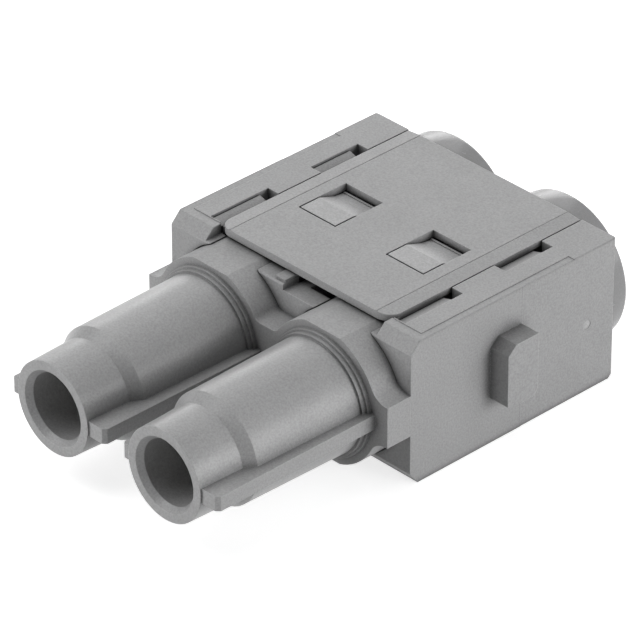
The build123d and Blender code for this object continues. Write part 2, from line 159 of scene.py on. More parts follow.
class Nodes:
    """Short-hand for any node tree."""

    def __init__(self, tree: bpy.types.NodeTree) -> None:
        """Keeps the tree."""
        self.tree = tree

    def add(self, kind: str, inputs: dict | None = None, **settings: object) -> bpy.types.Node:
        """Adds a node, sets its options and feeds its inputs.

        Args:
            kind: Blender's name of the node type.
            inputs: input name or number to a value or to an output socket.
            settings: options of the node.

        Returns:
            The new node.
        """
        node = self.tree.nodes.new(kind)
        for key, value in settings.items():
            setattr(node, key, value)
        for key, value in (inputs or {}).items():
            self.feed(node.inputs[key], value)
        return node

    def feed(self, socket: Socket, value: object) -> None:
        """Links an output socket to an input, or sets the input's value.

        Args:
            socket: the input.
            value: a value or an output socket.
        """
        if isinstance(value, Socket):
            self.tree.links.new(value, socket)
        else:
            socket.default_value = value

    def math(self, operation: str, first: object, second: object = 0.0) -> Socket:
        """Adds a Math node on values or sockets and gives its output socket."""
        return self.add("ShaderNodeMath", {0: first, 1: second}, operation=operation).outputs[0]

    def ramp(self, value: object, low: float, high: float, start: object, end: object,
             **settings: object) -> Socket:
        """Maps a socket's value from low and high to start and end, and holds it at both ends."""
        inputs = {"Value": value, "From Min": low, "From Max": high, "To Min": start, "To Max": end}
        return self.add("ShaderNodeMapRange", inputs, **settings).outputs["Result"]


class FinishNodes(Nodes):
    """Short-hand for the node tree of a material."""

    NOISE_SPAN = (0.3, 0.7)

    def __init__(self, name: str) -> None:
        """Makes an empty material.

        Args:
            name: name of the material.
        """
        self.material = bpy.data.materials.new(name)
        self.material.use_nodes = True
        super().__init__(self.material.node_tree)
        self.tree.nodes.clear()

    def point(self) -> Socket:
        """Place on the piece, in metres."""
        return self.add("ShaderNodeTexCoord").outputs["Object"]

    def noise(self, point: Socket, size: float, detail: float) -> Socket:
        """Noise, about 0.5 on average: size of its grains in metres, detail in finer layers."""
        inputs = {"Vector": point, "Scale": 1.0 / size, "Detail": detail, "Roughness": 0.6}
        return self.add("ShaderNodeTexNoise", inputs).outputs["Fac"]

    def vary(self, pattern: Socket, middle: float, below: float, above: float) -> Socket:
        """Value around a middle, which falls and rises by so much with a noise pattern."""
        return self.ramp(pattern, *self.NOISE_SPAN, middle - below, middle + above)

    def tinted(self, base: Colour, share: Socket) -> Socket:
        """Multiplies a linear colour by a share."""
        inputs = {0: base, "Scale": share}
        return self.add("ShaderNodeVectorMath", inputs, operation="SCALE").outputs["Vector"]

    def shade(self, inputs: dict) -> bpy.types.Material:
        """Ends the tree with one shader.

        Args:
            inputs: inputs of the shader.

        Returns:
            The material.
        """
        shader = self.add("ShaderNodeBsdfPrincipled", inputs)
        self.add("ShaderNodeOutputMaterial", {"Surface": shader.outputs[0]})
        return self.material


class ShapeNodes(Nodes):
    """Short-hand for a Geometry Nodes tree with named inputs."""

    GUIDE_RADIUS = 1.0 * MM

    def __init__(self, name: str) -> None:
        """Makes an empty tree with a geometry output.

        Args:
            name: name of the tree.
        """
        super().__init__(bpy.data.node_groups.new(name, "GeometryNodeTree"))
        self.tree.interface.new_socket("Geometry", in_out="OUTPUT", socket_type="NodeSocketGeometry")
        self.source = self.tree.nodes.new("NodeGroupInput")
        self.values: dict[str, float | int] = {}

    def size(self, name: str, value: float | int) -> Socket:
        """Adds a named input.

        Args:
            name: name of the input.
            value: its value on the piece that is made.

        Returns:
            The socket that carries it inside the tree.
        """
        kind = "NodeSocketInt" if isinstance(value, int) else "NodeSocketFloat"
        item = self.tree.interface.new_socket(name, in_out="INPUT", socket_type=kind)
        self.values[item.identifier] = value
        return self.source.outputs[name]

    def vector(self, x: object = 0.0, y: object = 0.0, z: object = 0.0) -> Socket:
        """Joins three values or sockets to a vector socket."""
        return self.add("ShaderNodeCombineXYZ", {0: x, 1: y, 2: z}).outputs[0]

    def resampled(self, curve: Socket, count: int) -> Socket:
        """Spaces a number of points evenly along a curve."""
        inputs = {"Curve": curve, "Count": count}
        return self.add("GeometryNodeResampleCurve", inputs, mode="COUNT").outputs["Curve"]

    def transformed(self, shape: Socket, **places: object) -> Socket:
        """Moves or turns a shape, by Translation or Rotation."""
        return self.add("GeometryNodeTransform", {"Geometry": shape, **places}).outputs["Geometry"]

    def strip(self, width: object, height: object) -> Socket:
        """Rectangular section around its middle."""
        inputs = {"Width": width, "Height": height}
        return self.add("GeometryNodeCurvePrimitiveQuadrilateral", inputs).outputs["Curve"]

    def sweep(self, path: Socket, profile: Socket) -> Socket:
        """Sweeps a closed profile along a path and closes both ends.

        Args:
            path: the path's curve.
            profile: the profile's curve: its X lies level across the path, its Y upright.

        Returns:
            The solid's geometry socket.
        """
        level = self.add("GeometryNodeSetCurveNormal", {"Curve": path}, mode="Z_UP").outputs["Curve"]
        inputs = {"Curve": level, "Profile Curve": profile, "Fill Caps": True}
        return self.add("GeometryNodeCurveToMesh", inputs).outputs["Mesh"]

    def pick(self, kind: str, items: list) -> Socket:
        """Gives each point its own item, by the point's number.

        Args:
            kind: Blender's name of the items' type.
            items: a value or a socket for each point.

        Returns:
            The field's socket.
        """
        index = self.add("GeometryNodeInputIndex").outputs[0]
        node = self.add("GeometryNodeIndexSwitch", data_type=kind)
        while len(node.index_switch_items) < len(items):
            node.index_switch_items.new()
        self.feed(node.inputs["Index"], index)
        for number, item in enumerate(items):
            self.feed(node.inputs[str(number)], item)
        return node.outputs[0]

    def turned(self, outline: list[tuple], steps: int) -> Socket:
        """Turns a half section around Y.

        Args:
            outline: radius, place along Y and rounding of each corner.
            steps: sides of the circle.

        Returns:
            The solid's geometry socket.
        """
        line = self.add("GeometryNodeCurvePrimitiveLine").outputs["Curve"]
        spots = self.pick("VECTOR", [self.vector(radius, along) for radius, along, _ in outline])
        inputs = {"Geometry": self.resampled(line, len(outline)), "Position": spots}
        placed = self.add("GeometryNodeSetPosition", inputs).outputs[0]
        closed = self.add("GeometryNodeSetSplineCyclic", {"Geometry": placed, "Cyclic": True}).outputs[0]
        radii = self.pick("FLOAT", [rounding for _, _, rounding in outline])
        inputs = {"Curve": closed, "Radius": radii, "Count": CORNER_STEPS, "Limit Radius": True}
        section = self.add("GeometryNodeFilletCurve", inputs, mode="POLY").outputs["Curve"]
        inputs = {"Resolution": steps, "Radius": self.GUIDE_RADIUS}
        guide = self.add("GeometryNodeCurvePrimitiveCircle", inputs).outputs["Curve"]
        profile = self.transformed(section, Translation=(-self.GUIDE_RADIUS, 0.0, 0.0))
        return self.transformed(self.sweep(guide, profile), Rotation=(math.pi / 2, 0.0, 0.0))

    def join(self, *shapes: Socket) -> Socket:
        """Joins several shapes.

        Args:
            shapes: their geometry sockets.

        Returns:
            The geometry socket of all.
        """
        node = self.add("GeometryNodeJoinGeometry")
        for shape in shapes:
            self.feed(node.inputs[0], shape)
        return node.outputs[0]

    def finish(self, shape: Socket, material: bpy.types.Material) -> None:
        """Ends the tree.

        Args:
            shape: the geometry that it gives.
            material: its finish.
        """
        real = self.add("GeometryNodeRealizeInstances", {"Geometry": shape}).outputs["Geometry"]
        dressed = self.add("GeometryNodeSetMaterial", {"Geometry": real, "Material": material})
        self.add("NodeGroupOutput", {"Geometry": dressed.outputs["Geometry"]})

    def piece(self, name: str, place: Vector) -> bpy.types.Object:
        """Runs the tree and keeps its result as a plain mesh.

        Args:
            name: name of the piece.
            place: where the tree's origin lies in the frame.

        Returns:
            The piece, at the origin, with its place in its mesh.
        """
        piece = bpy.data.objects.new(name, bpy.data.meshes.new(name))
        bpy.context.scene.collection.objects.link(piece)
        modifier = piece.modifiers.new("shape", "NODES")
        modifier.node_group = self.tree
        for identifier, value in self.values.items():
            modifier[identifier] = value
        graph = bpy.context.evaluated_depsgraph_get()
        mesh = bpy.data.meshes.new_from_object(piece.evaluated_get(graph))
        piece.modifiers.remove(modifier)
        piece.data = mesh
        mesh.name = name
        close_mesh(mesh, place)
        return piece


def close_mesh(mesh: bpy.types.Mesh, place: Vector) -> None:
    """Merges the doubles of a mesh, turns its faces outwards, moves and smooths it.

    Args:
        mesh: the mesh.
        place: how far it is moved.
    """
    work = bmesh.new()
    work.from_mesh(mesh)
    bmesh.ops.remove_doubles(work, verts=work.verts, dist=MERGE_WITHIN)
    bmesh.ops.recalc_face_normals(work, faces=work.faces)
    bmesh.ops.translate(work, verts=work.verts, vec=place)
    work.to_mesh(mesh)
    work.free()
    mesh.polygons.foreach_set("use_smooth", [True] * len(mesh.polygons))
    mesh.set_sharp_from_angle(angle=SMOOTH_ANGLE)


@dataclass(frozen=True)
class Moulded:
    """Glass-filled grey plastic, grained by the mould.

    Args:
        name: name of the material.
        shades: its colour.
        grain: texture of its faces.
        drawn: texture of the faces in front of drawn_y.
        drawn_y: where along Y the drawn faces start, in metres; None means that there are none.
        drawn_border: width of the change between both textures.
        broad_grains: width of the broad relief, in grains.
        broad_share: height of the broad relief, as a share of the fine one.
        uneven: how much the roughness varies.
        cloud_size: size of the broad patches of colour, in metres.
        edge_radius: radius that the shading gives every edge, in metres.
        edge_span: cosine of the turn of the rounded normal at which an edge's painted highlight starts
            and is complete.
        recess_reach: how far from another piece the painted shade in a joint still reaches, in metres.
        slot_reach: how far from its own walls the painted shade in a slot or an inner corner still
            reaches.
        recess_span: share of open air at which the painted shade is darkest, and at which it ends.
        marks: round marks on its side walls.
        patches: lighter and darker areas, real marks as well as painted light and painted shade.
    """

    name: str
    shades: Shades
    grain: Grain = Grain.SPARK
    drawn: Grain = Grain.DRAWN
    drawn_y: float | None = None
    drawn_border: float = 0.2 * MM
    broad_grains: float = 14.0
    broad_share: float = 0.35
    uneven: float = 0.04
    cloud_size: float = 4.0 * MM
    edge_radius: float = 0.11 * MM
    edge_span: tuple[float, float] = (0.995, 0.8)
    recess_reach: float = 0.8 * MM
    slot_reach: float = 1.7 * MM
    recess_span: tuple[float, float] = (0.3, 0.92)
    marks: tuple[Mark, ...] = ()
    patches: tuple[Patch, ...] = ()

    def material(self) -> bpy.types.Material:
        """Builds the material.

        Returns:
            The material.
        """
        texture = self.grain.value
        net = FinishNodes(self.name)
        point = net.point()
        fine = net.noise(point, texture.size, 2.0)
        broad = net.noise(point, self.broad_grains * texture.size, 3.0)
        inputs = {"Radius": self.edge_radius}
        bevel = net.add("ShaderNodeBevel", inputs, samples=SHADE_SAMPLES).outputs["Normal"]
        rough = net.vary(broad, texture.roughness, self.uneven, self.uneven)
        strength: object = 1.0
        if self.drawn_y is not None:
            front = self.in_front(net, point)
            smooth = self.drawn.value
            change = net.math("MULTIPLY", front, smooth.roughness - texture.roughness)
            rough = net.math("ADD", rough, change)
            strength = net.ramp(front, 0.0, 1.0, 1.0, smooth.depth / texture.depth)
        relief = net.math("ADD", fine, net.math("MULTIPLY", broad, self.broad_share))
        inputs = {"Height": relief, "Distance": texture.depth, "Strength": strength, "Normal": bevel}
        bump = net.add("ShaderNodeBump", inputs).outputs["Normal"]
        tone = self.tone(net, point, fine, bevel)
        return net.shade({"Base Color": tone, "Roughness": rough, "Normal": bump, "IOR": 1.5})

    def in_front(self, net: FinishNodes, point: Socket) -> Socket:
        """Mask that is 1 in front of drawn_y and 0 behind it."""
        along = net.add("ShaderNodeSeparateXYZ", {0: point}).outputs["Y"]
        return net.ramp(along, self.drawn_y - self.drawn_border, self.drawn_y, 1.0, 0.0)

    def edge_mask(self, net: FinishNodes, bevel: Socket) -> Socket:
        """How near a point is to an edge: 0 on a face, up to 1 on the edge.

        Args:
            net: the material's tree.
            bevel: the rounded normal.

        Returns:
            The mask's socket.
        """
        true = net.add("ShaderNodeNewGeometry").outputs["True Normal"]
        dot = net.add("ShaderNodeVectorMath", {0: bevel, 1: true}, operation="DOT_PRODUCT")
        return net.ramp(dot.outputs["Value"], *self.edge_span, 0.0, 1.0)

    def mark_mask(self, net: FinishNodes, point: Socket, mark: Mark) -> Socket:
        """1 inside a round mark, 0 outside it.

        Args:
            net: the material's tree.
            point: the coordinates it reads.
            mark: the mark.

        Returns:
            The mask's socket.
        """
        flat = net.add("ShaderNodeVectorMath", {0: point, 1: (0.0, 1.0, 1.0)}, operation="MULTIPLY")
        inputs = {0: flat.outputs["Vector"], 1: (0.0, mark.y, mark.z)}
        away = net.add("ShaderNodeVectorMath", inputs, operation="DISTANCE").outputs["Value"]
        return net.ramp(away, mark.radius, mark.sharp * mark.radius, 0.0, 1.0)

    def patch_mask(self, net: FinishNodes, point: Socket, patch: Patch) -> Socket:
        """1 well inside a patch, 0 outside it.

        Args:
            net: the material's tree.
            point: the coordinates it reads.
            patch: the patch.

        Returns:
            The mask's socket.
        """
        part = net.add("ShaderNodeSeparateXYZ", {0: point})
        places = [net.math("ABSOLUTE", part.outputs["X"]), part.outputs["Y"], part.outputs["Z"]]
        outside: Socket | None = None
        for place, centre, half in zip(places, patch.centre, patch.half):
            away = net.math("ABSOLUTE", net.math("SUBTRACT", place, centre))
            beyond = net.math("SUBTRACT", away, half)
            outside = beyond if outside is None else net.math("MAXIMUM", outside, beyond)
        return net.ramp(outside, 0.0, -patch.border, 0.0, 1.0)

    def recess_shade(self, net: FinishNodes) -> Socket:
        """Painted shade: darker in joints, slots and inner corners.

        Args:
            net: the material's tree.

        Returns:
            The socket of what the colour is multiplied by.
        """
        kind = "ShaderNodeAmbientOcclusion"
        # painted shade, darkest where the least air around a point is open
        near = net.add(kind, {"Distance": self.recess_reach}, samples=SHADE_SAMPLES)
        own = net.add(kind, {"Distance": self.slot_reach}, samples=SHADE_SAMPLES, only_local=True)
        open_air = net.math("MINIMUM", near.outputs["AO"], own.outputs["AO"])
        return net.ramp(open_air, *self.recess_span, 1.0 - self.shades.recess, 1.0)

    def tone(self, net: FinishNodes, point: Socket, fine: Socket, bevel: Socket) -> Socket:
        """Colour with its speckle, its clouds, a painted highlight on its edges, painted shade in its
        recesses, its marks and its patches.

        Args:
            net: the material's tree.
            point: the coordinates it reads.
            fine: fine grain, about 0.5 on average.
            bevel: the rounded normal.

        Returns:
            The colour's socket.
        """
        look = self.shades
        cloud = net.noise(point, self.cloud_size, 2.0)
        speckles = net.vary(fine, 1.0, look.speckle, look.speckle)
        clouds = net.vary(cloud, 1.0, look.cloud, look.cloud)
        # painted highlight: every edge is made lighter in colour
        edges = net.ramp(self.edge_mask(net, bevel), 0.0, 1.0, 1.0, 1.0 + look.edge)
        shares = [clouds, edges, self.recess_shade(net)]
        masks = [(self.mark_mask(net, point, mark), mark.lift) for mark in self.marks]
        masks += [(self.patch_mask(net, point, patch), patch.lift) for patch in self.patches]
        shares += [net.ramp(mask, 0.0, 1.0, 1.0, 1.0 + lift) for mask, lift in masks]
        product = speckles
        for share in shares:
            product = net.math("MULTIPLY", product, share)
        return net.tinted(look.base, product)


@dataclass(frozen=True)
class Plated:
    """Silver plated, turned or stamped metal.

    Args:
        name: name of the material.
        shades: its colour.
        roughness: roughness of the plating.
        smoother: how far the roughness falls.
        rougher: how far it rises.
        cloud_size: size of its patches, in metres.
        line_pitch: distance between the turning lines along Y, in metres; 0 means that there are none.
        line_depth: depth of those lines, in metres.
        line_strength: how much they show.
    """

    name: str
    shades: Shades
    roughness: float = 0.28
    smoother: float = 0.06
    rougher: float = 0.08
    cloud_size: float = 1.5 * MM
    line_pitch: float = 0.0
    line_depth: float = 0.002 * MM
    line_strength: float = 0.6

    def material(self) -> bpy.types.Material:
        """Builds the material.

        Returns:
            The material.
        """
        net = FinishNodes(self.name)
        point = net.point()
        cloud = net.noise(point, self.cloud_size, 3.0)
        share = net.vary(cloud, 1.0, self.shades.cloud, self.shades.cloud)
        inputs = {
            "Base Color": net.tinted(self.shades.base, share),
            "Metallic": 1.0,
            "Roughness": net.vary(cloud, self.roughness, self.smoother, self.rougher),
        }
        if self.line_pitch > 0.0:
            inputs["Normal"] = self.turning_lines(net, point)
        return net.shade(inputs)

    def turning_lines(self, net: FinishNodes, point: Socket) -> Socket:
        """Fine rings that a lathe leaves around Y.

        Args:
            net: the material's tree.
            point: the coordinates it reads.

        Returns:
            The normal's socket.
        """
        along = net.add("ShaderNodeSeparateXYZ", {0: point}).outputs["Y"]
        wave = net.math("SINE", net.math("MULTIPLY", along, 2 * math.pi / self.line_pitch))
        inputs = {"Height": wave, "Distance": self.line_depth, "Strength": self.line_strength}
        return net.add("ShaderNodeBump", inputs).outputs["Normal"]


@dataclass
class Finishes:
    """Every finish of the module, built once.

    Args:
        grey: colour of the shell, the lid and the carrier.
        dark_grey: colour of the rear sleeves.
        silver_tone: colour of the silver plating.
        steel_tone: colour of the clips.
        wall_x: outside of the side walls, from the middle plane, in metres.
        mark_back: how far the ejector marks lie before the shell's rear face.
        mark_drop: how far they lie below its middle.
        mark_radius: their radius.
        mark_lift: share by which they are lighter.
        parting_y: place of the mould's parting line on the side walls, from the shell's front.
        parting_width: width of that line.
        parting_depth: how far its tone reaches into the wall.
        parting_lift: share by which it is lighter; negative, because it is darker.
        rim_width: width of the painted shade along the shell's upper long edges.
        rim_lift: share by which that painted shade makes them lighter; negative, because it makes them
            darker.
        nose_x: middle of a tongue's nose, from the middle plane.
        nose_y: start and end of the noses, from the shell's front.
        nose_width: width of a nose.
        nose_depth: how far its painted light reaches down.
        nose_border: width of the painted light's soft border.
        nose_lift: share by which the painted light makes it lighter.
        block_depth: depth of the carrier's block in front of the shell, where the tubes start.
    """

    grey: Colour = (0.345, 0.345, 0.348)
    dark_grey: Colour = (0.262, 0.262, 0.265)
    silver_tone: Colour = (0.80, 0.78, 0.74)
    steel_tone: Colour = (0.55, 0.55, 0.56)
    wall_x: float = 15.2 * MM
    mark_back: float = 3.5 * MM
    mark_drop: float = 0.3 * MM
    mark_radius: float = 0.46 * MM
    mark_lift: float = 0.3
    parting_y: float = 13.65 * MM
    parting_width: float = 0.13 * MM
    parting_depth: float = 0.1 * MM
    parting_lift: float = -0.22
    rim_width: float = 0.22 * MM
    rim_lift: float = -0.3
    nose_x: float = 5.55 * MM
    nose_y: tuple[float, float] = (8.7 * MM, 14.6 * MM)
    nose_width: float = 4.6 * MM
    nose_depth: float = 1.0 * MM
    nose_border: float = 0.1 * MM
    nose_lift: float = 0.22
    block_depth: float = 2.8 * MM
    housing: bpy.types.Material = field(init=False)
    lid: bpy.types.Material = field(init=False)
    carrier: bpy.types.Material = field(init=False)
    sleeve: bpy.types.Material = field(init=False)
    silver: bpy.types.Material = field(init=False)
    spring: bpy.types.Material = field(init=False)
    steel: bpy.types.Material = field(init=False)

    def __post_init__(self) -> None:
        """Builds the materials."""
        low, high = (Vector(corner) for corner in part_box("outer_shell"))
        # Both plastics get a painted highlight along their edges and painted shade in their joints,
        # slots and inner corners.
        plastic = Shades(self.grey, speckle=0.14, cloud=0.025, edge=0.45, recess=0.82)
        dark = Shades(self.dark_grey, speckle=0.08, cloud=0.02, edge=0.45, recess=0.82)
        silver = Shades(self.silver_tone, cloud=0.04)
        steel = Shades(self.steel_tone, cloud=0.05)
        marks = (self.ejector_mark(low, high),)
        # the parting line is a mark of the mould; the other patch is painted shade along the shell's
        # upper long edges
        patches = (self.parting_line(low, high), self.rim(low, high))
        block = low.y - self.block_depth
        # painted light: the tops of the noses are made lighter in colour
        noses = (self.nose(low),)
        self.housing = Moulded("housing plastic", plastic, marks=marks, patches=patches).material()
        self.lid = Moulded("lid plastic", plastic).material()
        self.carrier = Moulded("carrier plastic", plastic, drawn_y=block, patches=noses).material()
        self.sleeve = Moulded("sleeve plastic", dark, grain=Grain.SATIN).material()
        self.silver = Plated("silver plate", silver, line_pitch=0.08 * MM).material()
        self.spring = Plated("spring plate", silver, roughness=0.22).material()
        self.steel = Plated("clip steel", steel, roughness=0.3).material()

    def ejector_mark(self, low: Vector, high: Vector) -> Mark:
        """Ejector mark of the side walls, from the shell's corners."""
        height = (low.z + high.z) / 2 - self.mark_drop
        return Mark(high.y - self.mark_back, height, self.mark_radius, self.mark_lift)

    def parting_line(self, low: Vector, high: Vector) -> Patch:
        """Upright line that two halves of the mould leave on the side walls.

        Args:
            low: lowest corner of the shell.
            high: its highest corner.

        Returns:
            The line, as a narrow patch.
        """
        middle = (low.z + high.z) / 2
        centre = (self.wall_x, low.y + self.parting_y, middle)
        half = (self.parting_depth, self.parting_width / 2, middle)
        return Patch(centre, half, self.parting_width / 3, self.parting_lift)

    def rim(self, low: Vector, high: Vector) -> Patch:
        """Painted shade along the upper long edges of the shell.

        Args:
            low: lowest corner of the shell.
            high: its highest corner.

        Returns:
            That painted shade, as a darker patch.
        """
        middle = (low.y + high.y) / 2
        half = (self.rim_width, high.y - middle, self.rim_width)
        return Patch((self.wall_x, middle, high.z), half, self.rim_width, self.rim_lift)

    def nose(self, low: Vector) -> Patch:
        """Painted light on the tops of the tongues' noses, which stand in the windows of the lid.

        Args:
            low: lowest corner of the shell.

        Returns:
            Their painted light, as a lighter patch.
        """
        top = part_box("cover_plate")[1][2]
        start, end = self.nose_y
        centre = (self.nose_x, low.y + (start + end) / 2, top)
        half = (self.nose_width / 2, (end - start) / 2, self.nose_depth)
        return Patch(centre, half, self.nose_border, self.nose_lift)


def dress(piece: bpy.types.Object, material: bpy.types.Material) -> bpy.types.Object:
    """Gives a piece one finish.

    Args:
        piece: the piece.
        material: its finish.

    Returns:
        The piece.
    """
    piece.data.materials.clear()
    piece.data.materials.append(material)
    return piece


def stand_in(piece: bpy.types.Object, node: str) -> bpy.types.Object:
    """Puts a made piece in the place of a node.

    Args:
        piece: the piece.
        node: the node that it stands for.

    Returns:
        The piece.
    """
    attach(piece, ROOT)
    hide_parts(node)
    return piece


def pole_centre(side: Side) -> Vector:
    """Middle of a pole's contact, on its axis, in metres."""
    low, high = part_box(side.node("socket"))
    return (Vector(low) + Vector(high)) / 2


@dataclass
class Housing:
    """Outer shell, cover plate and contact carrier: the frame's own solids.

    Args:
        finishes: the module's finishes.
    """

    finishes: Finishes

    def build(self) -> list[bpy.types.Object]:
        """Dresses the three mouldings.

        Returns:
            The pieces.
        """
        looks = {
            "outer_shell": self.finishes.housing,
            "cover_plate": self.finishes.lid,
            "contact_carrier": self.finishes.carrier,
        }
        return [dress(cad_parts[name], look) for name, look in looks.items()]


@dataclass
class RearSleeve:
    """Rear sleeve, turned in one piece: a collar with a flat towards its neighbour, and its spigot.

    Args:
        side: the pole.
        material: its finish.
        wire_bore: radius of the wire entry, in metres.
        lead_in: width of the bevel at its rear edge.
        barrel_bore: radius of the bore around the crimp barrel.
        barrel_step: how far behind the shell that bore ends; it is negative inside the shell.
        spigot_radius: radius outside the spigot.
        rounding: rounding of the collar's rear edge.
        front_rounding: rounding of its edge at the shell.
        lead_rounding: rounding where the bevel starts.
        bore_rounding: rounding where it ends in the bore.
        flat: how far the flat lies inside the collar's radius.
        steps: sides of the circle.
    """

    side: Side
    material: bpy.types.Material
    wire_bore: float = 4.4 * MM
    lead_in: float = 0.8 * MM
    barrel_bore: float = 4.5 * MM
    barrel_step: float = -4.3 * MM
    spigot_radius: float = 5.25 * MM
    rounding: float = 0.35 * MM
    front_rounding: float = 0.05 * MM
    lead_rounding: float = 0.1 * MM
    bore_rounding: float = 0.2 * MM
    flat: float = 0.15 * MM
    steps: int = 120

    def outline(self, tree: ShapeNodes, spigot: float, collar: float, radius: float) -> list[tuple]:
        """Half section of the sleeve, with the shell's rear face at Y 0.

        Args:
            tree: the sleeve's tree.
            spigot: length of the spigot.
            collar: length of the collar.
            radius: radius of the collar.

        Returns:
            Radius, place along Y and rounding of each corner.
        """
        front = tree.math("MULTIPLY", tree.size("Spigot length", spigot), -1.0)
        rear = tree.size("Collar length", collar)
        outer = tree.size("Collar radius", radius)
        spigot_radius = tree.size("Spigot radius", self.spigot_radius)
        bore = tree.size("Wire bore", self.wire_bore)
        lead = tree.size("Lead-in", self.lead_in)
        barrel = tree.size("Barrel bore", self.barrel_bore)
        step = tree.size("Barrel step", self.barrel_step)
        return [
            (barrel, front, 0.0),
            (spigot_radius, front, 0.0),
            (spigot_radius, 0.0, 0.0),
            (outer, 0.0, self.front_rounding),
            (outer, rear, tree.size("Rounding", self.rounding)),
            (tree.math("ADD", bore, lead), rear, self.lead_rounding),
            (bore, tree.math("SUBTRACT", rear, lead), self.bore_rounding),
            (bore, step, 0.0),
            (barrel, step, 0.0),
        ]

    def cut_flat(self, tree: ShapeNodes, solid: Socket, reach: float) -> Socket:
        """Presses the side that faces the neighbour to a flat.

        Args:
            tree: the sleeve's tree.
            solid: the turned solid.
            reach: distance of the flat from the axis.

        Returns:
            The geometry socket with the flat.
        """
        place = tree.add("ShaderNodeSeparateXYZ", {0: tree.add("GeometryNodeInputPosition").outputs[0]})
        outward = tree.size("Outward", float(self.side.value))
        away = tree.math("MULTIPLY", place.outputs["X"], outward)
        held = tree.math("MAXIMUM", away, tree.math("MULTIPLY", tree.size("Flat", reach), -1.0))
        moved = tree.vector(tree.math("MULTIPLY", held, outward), place.outputs["Y"], place.outputs["Z"])
        inputs = {"Geometry": solid, "Position": moved}
        return tree.add("GeometryNodeSetPosition", inputs).outputs["Geometry"]

    def build(self) -> list[bpy.types.Object]:
        """Makes the sleeve.

        Returns:
            The piece.
        """
        node = self.side.node("rear_sleeve")
        low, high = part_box(node)
        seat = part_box("outer_shell")[1][1]
        radius = (high[2] - low[2]) / 2
        tree = ShapeNodes(node + " turned")
        outline = self.outline(tree, seat - low[1], high[1] - seat, radius)
        solid = self.cut_flat(tree, tree.turned(outline, self.steps), radius - self.flat)
        tree.finish(solid, self.material)
        centre = pole_centre(self.side)
        piece = tree.piece(node + "_turned", Vector((centre.x, seat, centre.z)))
        return [stand_in(piece, node)]


